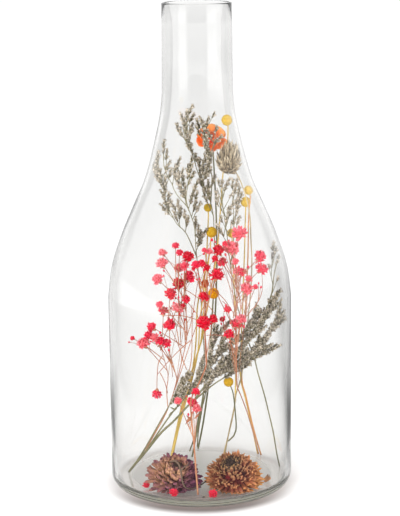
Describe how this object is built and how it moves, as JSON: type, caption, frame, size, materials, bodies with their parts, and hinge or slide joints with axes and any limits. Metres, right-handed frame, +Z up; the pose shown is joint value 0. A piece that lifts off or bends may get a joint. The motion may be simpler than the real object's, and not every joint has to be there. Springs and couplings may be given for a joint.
{
  "type": "dried flowers in glass bottle",
  "caption": "Tall clear glass bottle with a slim open neck and a round body, holding dried statice, baby's breath, button flowers and everlasting heads.",
  "frame": {"origin": "middle of the bottle's flat base, on the surface that it stands on", "axes": "+Z up the bottle's axis towards its mouth, -Y towards the front, +X to the right seen from the front"},
  "size_m": [0.1132, 0.114, 0.302],
  "materials": {
    "glass": "clear polished blown glass, faintly grey-green at its thick base",
    "coral": "matte dyed coral and pink dried petals on thin salmon stems",
    "sage": "matte grey-green and beige dried florets on olive stems",
    "pale_sage": "matte pale beige-green dried florets on grey-green stems",
    "yellow": "matte yellow button heads, finely dimpled",
    "amber": "matte amber-brown button head, finely dimpled",
    "straw": "dry straw-yellow stem, faintly grooved",
    "green": "dry grey-green stem, faintly grooved",
    "orange": "matte orange dried petals, deeper at their roots",
    "scale": "matte straw-grey papery scales",
    "mauve": "papery bracts, dusky purple outside and salmon tan inside",
    "gold_brown": "papery bracts, gold at their ends and maroon-brown at their roots",
    "dark": "matte dark dried middle of a flower head"
  },
  "bodies": {
    "root": {"bottle": "glass", "breath_left": "coral", "breath_right": "coral", "breath_front": "coral", "statice_tall": "sage", "statice_left": "sage", "statice_right": "pale_sage", "statice_dense": "sage", "button_1": "yellow", "button_1_stem": "straw", "button_2": "yellow", "button_2_stem": "straw", "button_3": "yellow", "button_3_stem": "straw", "button_4": "yellow", "button_4_stem": "straw", "button_5": "yellow", "button_5_stem": "straw", "button_6": "yellow", "button_6_stem": "straw", "button_7": "yellow", "button_7_stem": "straw", "amber_button": "amber", "amber_button_stem": "straw", "button_8": "yellow", "button_8_stem": "green", "orange_bloom": "orange", "orange_stem": "green", "cone_head": "scale", "cone_stem": "straw", "mauve_bracts": "mauve", "mauve_eye": "dark", "gold_bracts": "gold_brown", "gold_eye": "dark", "loose_floret_1": "coral", "loose_floret_2": "coral", "loose_floret_3": "coral", "bract_scrap": "gold_brown"}
  },
  "joints": []
}
